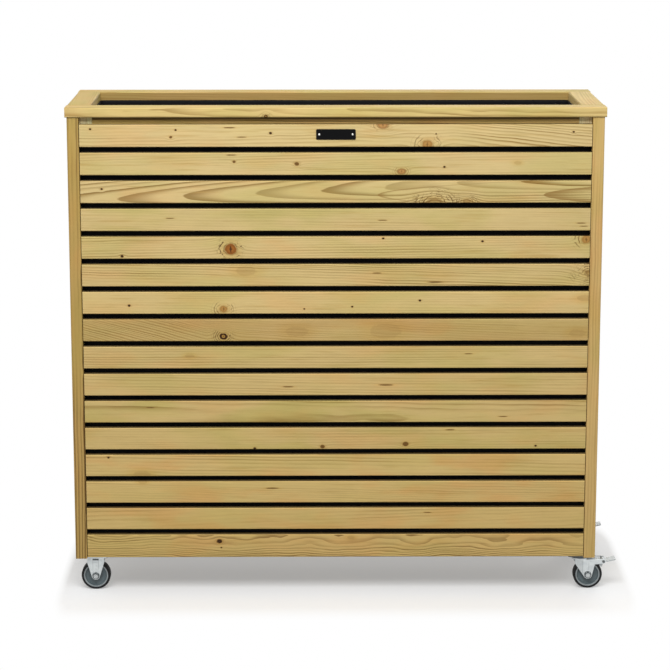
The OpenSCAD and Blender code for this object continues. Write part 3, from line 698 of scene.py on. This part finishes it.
def makeMembrane():
    cloth = clothMaterial()
    low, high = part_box("backing_membrane")
    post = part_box("corner_post_front_right")
    spans = {"Long": post[0].x - middleX - membrane["clear"], "Short": abs(post[1].y) - membrane["clear"]}
    faces = {"Long": high.y, "Short": high.x - middleX}
    walls = {"Front": ("Long", -1), "Back": ("Long", 1), "Left": ("Short", -1), "Right": ("Short", 1)}
    for wall, (length, side) in walls.items():
        half, face, rise = spans[length], faces[length], high.z - low.z

        def bend(u, v):
            along, up = (u * 2 - 1) * half, v * rise
            free = half - membrane["batten"] - abs(along)
            if length == "Long":
                free = min(free, abs(along) - membrane["batten"] / 2)
            loose = min(max(free, 0.0) / 0.12, 1.0)
            sag = membrane["slack"] * loose * (0.55 + 0.6 * ripple(along * 7, up * 3, side + face * 9))
            pull = 0.5 - 0.5 * math.cos(2 * math.pi * up / membrane["stapleSpacing"])
            sag += membrane["pucker"] * pull * loose * math.exp(-free / 0.04)
            out = (face - membrane["behind"] - max(sag, 0.0)) * side
            if length == "Long":
                return Vector((middleX + along, out, low.z + up))
            return Vector((middleX + out, along, low.z + up))

        piece = sheetPiece("membrane" + wall, int(2 * half / membrane["step"]), int(rise / membrane["step"]),
                           bend, membrane["thickness"])
        piece.data.materials.append(cloth)
        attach(piece, "box")
        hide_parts("backing_membrane")


makeMembrane()
print("membrane: done")

# The liner: a bag of thick film with a hem round its mouth, upright folds in its walls and drain holes
liner = {
    "thickness": 0.001,
    "corner": 0.008,
    "foot": 0.022,
    "fold": 0.006,
    "floorWave": 0.002,
    "hemHeight": 0.028,
    "hemStep": 0.0007,
    "around": 320,  # how many faces go round it, and down to the middle of its floor
    "down": 72,
    "hemRows": 6,
    "drainRadius": 0.004,
    "drainsPerRow": 4,
    "black": (12, 12, 13),
    "worn": (24, 24, 26),
    "dust": (70, 63, 52),
}


# A point on a rounded rectangle, which is walked once as turn goes from 0 to 1
def ringPoint(turn, halfX, halfY, radius):
    straightX, straightY, arc = 2 * (halfX - radius), 2 * (halfY - radius), math.pi / 2 * radius
    walk = turn % 1.0 * 2 * (straightX + straightY + 2 * arc)
    corners = [(1, -1, straightX, 0), (1, 1, straightY, 90),
               (-1, 1, straightX, 180), (-1, -1, straightY, 270)]
    for signX, signY, straight, heading in corners:
        ahead = Vector((math.cos(math.radians(heading)), math.sin(math.radians(heading)), 0))
        pivot = Vector((signX * (halfX - radius), signY * (halfY - radius), 0))
        outward = Vector((ahead.y, -ahead.x, 0))
        if walk <= straight:
            return pivot + ahead * (walk - straight) + outward * radius
        walk -= straight
        if walk <= arc:
            angle = walk / arc * math.pi / 2
            return pivot + outward * radius * math.cos(angle) + ahead * radius * math.sin(angle)
        walk -= arc
    return Vector((-(halfX - radius), -halfY, 0))


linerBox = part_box("planting_liner")


def linerPath(down):  # how far in from the wall, and how high, after going down and across the floor
    low, high = linerBox
    wall = high.z - low.z - liner["foot"]
    bend = liner["foot"] * math.pi / 2
    floor = (high.y - low.y) / 2 - liner["foot"]
    walk = down * (wall + bend + floor)
    if walk < wall:
        return 0.0, high.z - walk
    if walk < wall + bend:
        angle = (walk - wall) / liner["foot"]
        return liner["foot"] * (1 - math.cos(angle)), low.z + liner["foot"] * (1 - math.sin(angle))
    return liner["foot"] + walk - wall - bend, low.z


def bendLiner(u, v):
    low, high = linerBox
    inset, height = linerPath(v)
    halfX, halfY = (high.x - low.x) / 2, (high.y - low.y) / 2
    edge = ringPoint(u, halfX, halfY, liner["corner"])
    depth = (high.z - height) / (high.z - low.z)
    loose = min(max((high.z - liner["hemHeight"] - height) / 0.15, 0.0), 1.0)
    fold = 0.45 + 0.75 * ripple(edge.x * 9, edge.y * 9, height * 1.6)
    fold += 0.2 * ripple(edge.x * 24, edge.y * 24, height * 5)
    inset += liner["fold"] * loose * max(fold, 0.0) * (1 - 0.4 * depth)
    if depth > 0.98:
        height += liner["floorWave"] * (0.5 + 0.5 * ripple(edge.x * 6, inset * 14, 3.0))
    inset = min(inset, halfY - 0.0002)
    point = ringPoint(u, halfX - inset, halfY - inset, max(liner["corner"] - inset, 0.0001))
    return Vector((point.x + middleX, point.y, height))


def bendHem(u, v):
    low, high = linerBox
    bulge = liner["thickness"] + liner["hemStep"] * (0.5 + 0.5 * math.sin(math.pi * v))
    point = ringPoint(u, (high.x - low.x) / 2 - bulge, (high.y - low.y) / 2 - bulge, liner["corner"])
    return Vector((point.x + middleX, point.y, high.z - 0.0005 - liner["hemHeight"] * v))


def cutDrains(piece):
    low, high = linerBox
    mesh = bmesh.new()
    rowY = (high.y - low.y) / 6
    for count in range(1, liner["drainsPerRow"] + 1):
        for side in (-1, 1):
            made = bmesh.ops.create_cone(mesh, cap_ends=True, segments=24, radius1=liner["drainRadius"],
                                         radius2=liner["drainRadius"], depth=0.03)
            x = low.x + (high.x - low.x) * count / (liner["drainsPerRow"] + 1)
            bmesh.ops.translate(mesh, verts=made["verts"], vec=(x, side * rowY, low.z))
    cutter = newPiece("drainCutter", mesh)
    cut = piece.modifiers.new("drains", "BOOLEAN")
    cut.operation, cut.solver, cut.object = "DIFFERENCE", "EXACT", cutter
    bpy.context.view_layer.update()
    holed = bpy.data.meshes.new_from_object(piece.evaluated_get(bpy.context.evaluated_depsgraph_get()))
    piece.modifiers.clear()
    piece.data = holed
    bpy.data.objects.remove(cutter)


def filmMaterial():
    material, start, place = startMaterial("linerFilm")
    crease = place.net(34.0).smooth(0.05, 0.0)
    soft = place.noise(26.0, 3.0)
    fine = place.noise(420.0, 2.0)
    dust = place.noise(7.0, 4.0).smooth(0.42, 0.72)
    color = soft.mix(liner["black"], liner["worn"])
    color = (dust * 0.06).mix(color, liner["dust"])
    finishMaterial(start, color, 0.5 + 0.2 * soft + 0.2 * dust, soft + crease * 0.25 + fine * 0.04, 0.0012,
                   gloss=0.07)
    return material


def makeLiner():
    film = filmMaterial()
    bag = sheetPiece("linerBag", liner["around"], liner["down"], bendLiner, liner["thickness"])
    cutDrains(bag)
    hem = sheetPiece("linerHem", liner["around"], liner["hemRows"], bendHem, liner["thickness"])
    for piece in (bag, hem):
        piece.data.materials.append(film)
        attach(piece, "box")
        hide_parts("planting_liner")


makeLiner()
print("liner: done")


# Metal, plastic and rubber
plateLook = {
    "black": (4, 4, 5),
    "worn": (13, 13, 14),
    "edge": (56, 56, 58),
    "pin": (226, 226, 222),
    "tarnish": (176, 172, 162),
    "pinRimShade": (58, 57, 54),
}


def platePaint():
    material, start, place = startMaterial("plateBlack")
    x, y, z = place.split()
    plate = middle("label_plate")
    low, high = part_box("label_plate")
    brushed = start.vector(x * 0.04, y, z).noise(2600.0, 2.0)
    smudge = place.noise(60.0, 3.0)
    halfX, halfZ = (high.x - low.x) / 2, (high.z - low.z) / 2
    edge = abs(x - plate.x).smooth(halfX - 0.0015, halfX)
    edge = edge.most(abs(z - plate.z).smooth(halfZ - 0.0012, halfZ))
    color = (brushed * 0.5 + smudge * 0.3).mix(plateLook["black"], plateLook["worn"])
    color = (edge * 0.35).mix(color, plateLook["edge"])
    finishMaterial(start, color, 0.5 + 0.2 * smudge, brushed + edge * 0.3, 0.00012, gloss=0.07)
    return material


def pinSteel():
    material, start, place = startMaterial("pinSteel")
    scratch = place.noise(1800.0, 2.0)
    tarnish = place.noise(300.0, 3.0)
    x, y, z = place.split()
    low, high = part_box("label_pins")
    centre = middle("label_pins")
    half = (high.z - low.z) / 2
    out = abs(abs(x - centre.x) - ((high.x - low.x) / 2 - half))  # from the middle of the nearer pin
    edge = ((out ** 2.0 + (z - centre.z) ** 2.0) ** 0.5 / half).smooth(0.35, 0.95)
    color = tarnish.smooth(0.35, 0.8).mix(plateLook["pin"], plateLook["tarnish"])
    # painted shade darkens the rim of each pin's head
    color = (edge * 0.9).mix(color, plateLook["pinRimShade"])
    finishMaterial(start, color, 0.3 + 0.25 * scratch, scratch, 0.00006, metal=0.8)
    return material


# The zinc of the casters. Lines, fold and rib are distances from the axle, slot is a half width and two
# heights, and ribFoot is a height. All of them place painted shade.
zinc = {
    "boltLine": (0.0066, 0.0082),
    "headLine": (0.005, 0.0066),
    "fold": 0.0117,
    "slot": (0.0068, 0.0712, 0.0738),
    "rib": 0.0065,
    "ribFoot": 0.046,
    "shadow": (52, 56, 60),
    "bright": (216, 221, 221),
    "dull": (176, 182, 186),
    "bloom": (196, 198, 196),
    "grime": (92, 84, 70),
    "spangles": {"plate": 160.0, "pedal": 240.0, "small": 420.0},
    "cloudScale": 70.0,
    "scratchScale": 1500.0,
    "bloomScale": 38.0,
    "grimeScale": 55.0,
}


def wheelRadius(place, name):
    x, y, z = place.split()
    hub = middle(name)
    return ((x - hub.x) ** 2.0 + (z - hub.z) ** 2.0) ** 0.5


def axleShade(color, place, wheel, line):  # painted shade: a dark ring round the bolt, or on its head, and a small ring inside it
    radius = wheelRadius(place, wheel)
    low, high = zinc[line]
    ring = radius.smooth(low - 0.0008, low) * radius.smooth(high + 0.0008, high)
    dimple = radius.smooth(0.0016, 0.0022) * radius.smooth(0.0034, 0.0028) * 0.5
    return (ring * 0.75 + dimple).mix(color, zinc["shadow"])


def forkShade(color, place, wheel):  # painted shade: the folded edge of a fork's cheek, seen as two soft upright lines
    x, y, z = place.split()
    hub = middle(wheel)
    fold = (x - hub.x + zinc["fold"]).smooth(0.001, -0.001)
    crease = abs(x - hub.x + zinc["fold"]).smooth(0.0016, 0.0)
    press = abs(x - hub.x - 0.002).smooth(0.0012, 0.0) * (z - hub.z).smooth(0.01, 0.014)
    press = press * (z - hub.z).smooth(0.032, 0.026)
    return (fold * 0.16 + crease * 0.18 + press * 0.3).mix(color, zinc["shadow"])


def slotShade(color, place, wheel):  # painted shade: the dark slot across the top of a fixed leg, and the ribs below it
    x, y, z = place.split()
    beside = abs(x - middle(wheel).x)
    half, low, high = zinc["slot"]
    foot = zinc["ribFoot"]
    slot = beside.smooth(half + 0.0008, half) * z.smooth(low - 0.001, low) * z.smooth(high + 0.001, high)
    rib = abs(beside - zinc["rib"]).smooth(0.0009, 0.0) * z.smooth(foot, foot + 0.004)
    color = (rib * z.smooth(low, low - 0.002) * 0.35).mix(color, zinc["shadow"])
    return (slot * 0.95).mix(color, zinc["shadow"])


def zincPlate(name, spangle, shine, grimeHeight, wheel=None, part=None, tone=1.0, paintedSideShade=0.0, metal=1.0):
    material, start, place = startMaterial(name)
    height = place.split()[2]
    flakes = {"Vector": place, "Scale": zinc["spangles"][spangle]}
    flake = start.node("TexVoronoi", inputs=flakes, output="Color").split()[0]
    cloud = place.noise(zinc["cloudScale"], 3.0)
    scratch = place.noise(zinc["scratchScale"], 2.0)
    bloom = place.noise(zinc["bloomScale"], 4.0).smooth(0.58, 0.85)
    grime = height.smooth(grimeHeight, 0.0) * place.noise(zinc["grimeScale"], 3.0).smooth(0.3, 0.7)
    color = (flake * 0.25 + cloud * 0.35).mix(zinc["bright"], zinc["dull"])
    color = (bloom * 0.3).mix(color, zinc["bloom"])
    color = (grime * 0.5).mix(color, zinc["grime"])
    if wheel:
        color = axleShade(color, place, wheel, "headLine" if part == "bolt" else "boltLine")
    if part == "leg":
        color = slotShade(color, place, wheel)
    if part == "fork":
        color = forkShade(color, place, wheel)
    # painted shade darkens the upright sides of the metal
    level = abs(start.node("TexCoord", output="Normal").dot(upright)).smooth(0.3, 0.8)
    color = ((1.0 - level) * paintedSideShade).mix(color, zinc["shadow"]).dim(tone)
    roughness = shine + 0.16 * cloud + 0.1 * flake + 0.2 * bloom
    if part == "fork":  # its level top is duller than its cheeks, and painted shade darkens it
        color = color.dim(1.0 - 0.22 * level)
        roughness = roughness + 0.25 * level
        metal = metal - 0.65 * level
    finishMaterial(start, color, roughness, scratch * 0.4 + cloud * 0.6, 0.00025,
                   metal * (1.0 - 0.55 * bloom - 0.5 * grime))
    return material


wheelLook = {
    "hub": (108, 121, 125),
    "hubMottleAndShade": (66, 78, 82),
    "lipHighlight": (186, 191, 192),
    "lipStart": 0.0246,
    "lipEnd": 0.0254,
    "rubber": (17, 18, 19),
    "worn": (36, 36, 36),
    "dust": (120, 112, 98),
    "mouldLine": 0.0004,
}


def hubPlastic(name):
    material, start, place = startMaterial(name + "Plastic")
    radius = wheelRadius(place, name)
    grain = place.noise(1900.0, 2.0)
    cloud = place.noise(90.0, 3.0)
    ridges = (radius * 5200.0).sine() * 0.5 + 0.5
    lipHighlight = radius.smooth(wheelLook["lipStart"], wheelLook["lipEnd"])
    # mottled, with painted shade towards the middle
    color = (cloud * 0.6 + radius.smooth(0.02, 0.011) * 0.4).mix(wheelLook["hub"], wheelLook["hubMottleAndShade"])
    # painted highlight on the hub's lip
    color = (lipHighlight * 0.9).mix(color, cloud.mix(wheelLook["lipHighlight"], wheelLook["hub"]))
    dust = place.noise(160.0, 4.0).smooth(0.5, 0.8)
    color = (dust * 0.25).mix(color, wheelLook["dust"])
    finishMaterial(start, color, 0.42 + 0.15 * cloud + 0.15 * dust, grain * 0.5 + ridges * 0.25, 0.00012)
    return material


def tyreRubber(name):
    material, start, place = startMaterial(name + "Rubber")
    radius = wheelRadius(place, name)
    low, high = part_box(name)
    outer = (high.x - low.x) / 2
    tread = radius.smooth(outer - 0.003, outer - 0.0005)
    seam = abs(place.split()[1] - middle(name).y).smooth(wheelLook["mouldLine"], 0.0) * tread
    grain = place.noise(1400.0, 3.0)
    scuff = place.noise(190.0, 4.0).smooth(0.45, 0.75)
    color = (scuff * 0.35 + tread * 0.3).mix(wheelLook["rubber"], wheelLook["worn"])
    color = (place.noise(70.0, 4.0).smooth(0.5, 0.8) * 0.15 * tread).mix(color, wheelLook["dust"])
    finishMaterial(start, color, 0.6 + 0.2 * scuff, grain * 0.5 + seam + scuff * 0.3, 0.0003,
                   gloss=0.25)
    return material


dress(platePaint(), ["label_plate"])
dress(pinSteel(), ["label_pins"])
for side in ("front", "back"):
    dress(zincPlate("bracketZinc_" + side, "plate", 0.3, 0.03, "fixed_hub_" + side, "leg"),
          ["fixed_bracket_" + side])
    dress(zincPlate("forkZinc_" + side, "plate", 0.3, 0.03, "swivel_hub_" + side, "fork"),
          ["swivel_fork_" + side])
dress(zincPlate("plateZinc", "plate", 0.38, 0.12, paintedSideShade=0.9), named("swivel_plate"))
dress(zincPlate("pedalZinc", "pedal", 0.5, 0.05, tone=0.84, metal=0.35), named("brake_pedal"))
dress(zincPlate("screwZinc", "small", 0.2, 0.02),
      named("kingpin", "swivel_balls", "slat_screws", "caster_screws"))
dress(zincPlate("pedalPinZinc", "small", 0.4, 0.02, tone=0.2), named("pedal_pin"))
for name, wheel in {"fixed_axles": "fixed_hub_front", "swivel_axle_front": "swivel_hub_front",
                    "swivel_axle_back": "swivel_hub_back"}.items():
    dress(zincPlate(name + "Zinc", "small", 0.2, 0.02, wheel, "bolt"), [name])
for name in named("fixed_hub", "swivel_hub"):
    dress(hubPlastic(name), [name])
for name in named("fixed_tyre", "swivel_tyre"):
    dress(tyreRubber(name), [name])
print("metal, plastic and rubber: done")

# Floor, lights and camera
studio = {
    "floorSize": 30.0,
    "floorSeen": (0.93, 0.93, 0.93, 1.0),
    "floorBounce": (0.32, 0.32, 0.32, 1.0),  # what lights the planter from below
    "shadowLift": 0.29,  # the least share of white in the shadow, then where white starts and is full
    "shadowStart": 0.04,
    "shadowReach": 0.19,
    "endFade": 4.0,  # how much faster the shadow ends beside the planter than before it
    "worldLight": 0.5,
}


def seenRays(start):
    camera, glossy, through = (start.node("LightPath", output=f"Is {ray} Ray")
                               for ray in ("Camera", "Glossy", "Transmission"))
    return camera.most(glossy.most(through))


def makeFloor():
    mesh = bmesh.new()
    bmesh.ops.create_grid(mesh, x_segments=1, y_segments=1, size=studio["floorSize"] / 2)
    floor = newPiece("studioFloor", mesh)
    material, start, place = startMaterial("studioFloorPaint")
    x, y, z = place.split()
    high = cadBox[1]
    beside = (abs(x) - high[0]).most(0.0) * studio["endFade"], (abs(y) - high[1]).most(0.0)
    far = ((beside[0] ** 2.0 + beside[1] ** 2.0) ** 0.5).smooth(studio["shadowStart"], studio["shadowReach"])
    seen = seenRays(start)
    paint = start.node("BsdfDiffuse", inputs={"Color": seen.mix(studio["floorBounce"], studio["floorSeen"])})
    glow = start.node("Emission")  # white
    share = far.most(studio["shadowLift"]) * seen
    both = start.node("MixShader", inputs={0: share, 1: paint, 2: glow})
    start.node("OutputMaterial", inputs={"Surface": both})
    floor.data.materials.append(material)


def makeAir():
    world = bpy.data.worlds.new("studioAir")
    bpy.context.scene.world = world
    world.use_nodes = True
    world.node_tree.nodes.clear()
    start = Wire(world.node_tree)
    strength = studio["worldLight"] + (1.0 - studio["worldLight"]) * seenRays(start)
    air = start.node("Background", inputs={"Color": (1.0, 1.0, 1.0, 1.0), "Strength": strength})
    start.node("OutputWorld", inputs={"Surface": air})


lamps = {  # aim is the height that a lamp points at
    "keyLamp": {"place": (-0.25, -2.3, 2.9), "wide": 2.4, "tall": 1.5, "power": 86.5, "aim": 0.75},
    "fillLamp": {"place": (1.3, 3.3, 1.3), "wide": 2.4, "tall": 1.2, "power": 46.0, "aim": 0.5},
}


def makeLamps():
    for name, look in lamps.items():
        lamp = bpy.data.lights.new(name, "AREA")
        lamp.shape = "RECTANGLE"
        lamp.size, lamp.size_y, lamp.energy = look["wide"], look["tall"], look["power"]
        stand = bpy.data.objects.new(name, lamp)
        stand.location = look["place"]
        aim = Vector((0.0, 0.0, look["aim"])) - stand.location
        stand.rotation_euler = aim.to_track_quat("-Z", "Y").to_euler()
        bpy.context.scene.collection.objects.link(stand)


view = {
    "place": (-0.082, -5.18, 1.725),
    "down": 0.190,  # radians, like turn
    "turn": -0.007,
    "pixels": 2275.0,  # the focal length in pixels of the picture
    "shiftX": 0.014,
    "shiftY": -0.10,
}


def makeCamera():
    camera = bpy.data.cameras.new("photoCamera")
    camera.lens = view["pixels"] / 670 * camera.sensor_width
    camera.shift_x, camera.shift_y = view["shiftX"], view["shiftY"]
    eye = bpy.data.objects.new("photoCamera", camera)
    eye.location = view["place"]
    eye.rotation_euler = (math.pi / 2 - view["down"], 0.0, view["turn"])
    bpy.context.scene.collection.objects.link(eye)
    bpy.context.scene.camera = eye


makeFloor()
makeAir()
makeLamps()
makeCamera()
bpy.context.scene.view_settings.view_transform = "Standard"
print("stage: done")
